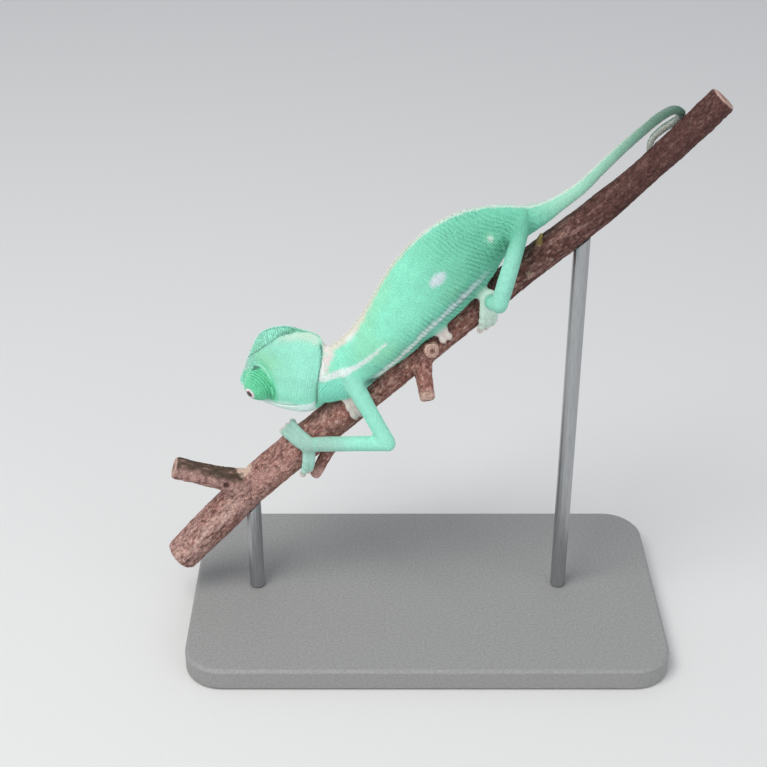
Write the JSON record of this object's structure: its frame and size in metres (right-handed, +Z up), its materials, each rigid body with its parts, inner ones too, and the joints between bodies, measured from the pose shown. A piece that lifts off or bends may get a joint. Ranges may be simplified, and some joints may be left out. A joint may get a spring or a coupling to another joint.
{
  "type": "young veiled chameleon on a twig",
  "caption": "Still model of a young veiled chameleon walking head first down a bare twig, tail hooked over it, on a flat display base with slim rods.",
  "frame": {"origin": "middle of the underside of the display base", "axes": "+Z up; the twig rises towards +X in the plane y = 0, the head is at the lower -X end, and the animal's left side faces -Y"},
  "size_m": [0.1097, 0.056, 0.1175],
  "materials": {
    "skin": "fine granular mint-green scales, satin",
    "eye": "wet gloss",
    "bark": "rough reddish-brown bark",
    "base": "fine matte",
    "rod": "brushed"
  },
  "bodies": {
    "root": {"head": "skin", "neck": "skin", "trunk": "skin", "tail_base": "skin", "tail_middle": "skin", "tail_tip": "skin", "eye_turret_left": "skin", "eye_turret_right": "skin", "foreleg_left_upper": "skin", "foreleg_left_lower": "skin", "forefoot_left": "skin", "foreleg_right_upper": "skin", "foreleg_right_lower": "skin", "forefoot_right": "skin", "hindleg_left_upper": "skin", "hindleg_left_lower": "skin", "hindfoot_left": "skin", "hindleg_right_upper": "skin", "hindleg_right_lower": "skin", "hindfoot_right": "skin", "eye_left": "eye", "eye_right": "eye", "perch": "bark", "stand_base": "base", "stand_rod_lower": "rod", "stand_rod_upper": "rod"}
  },
  "joints": []
}
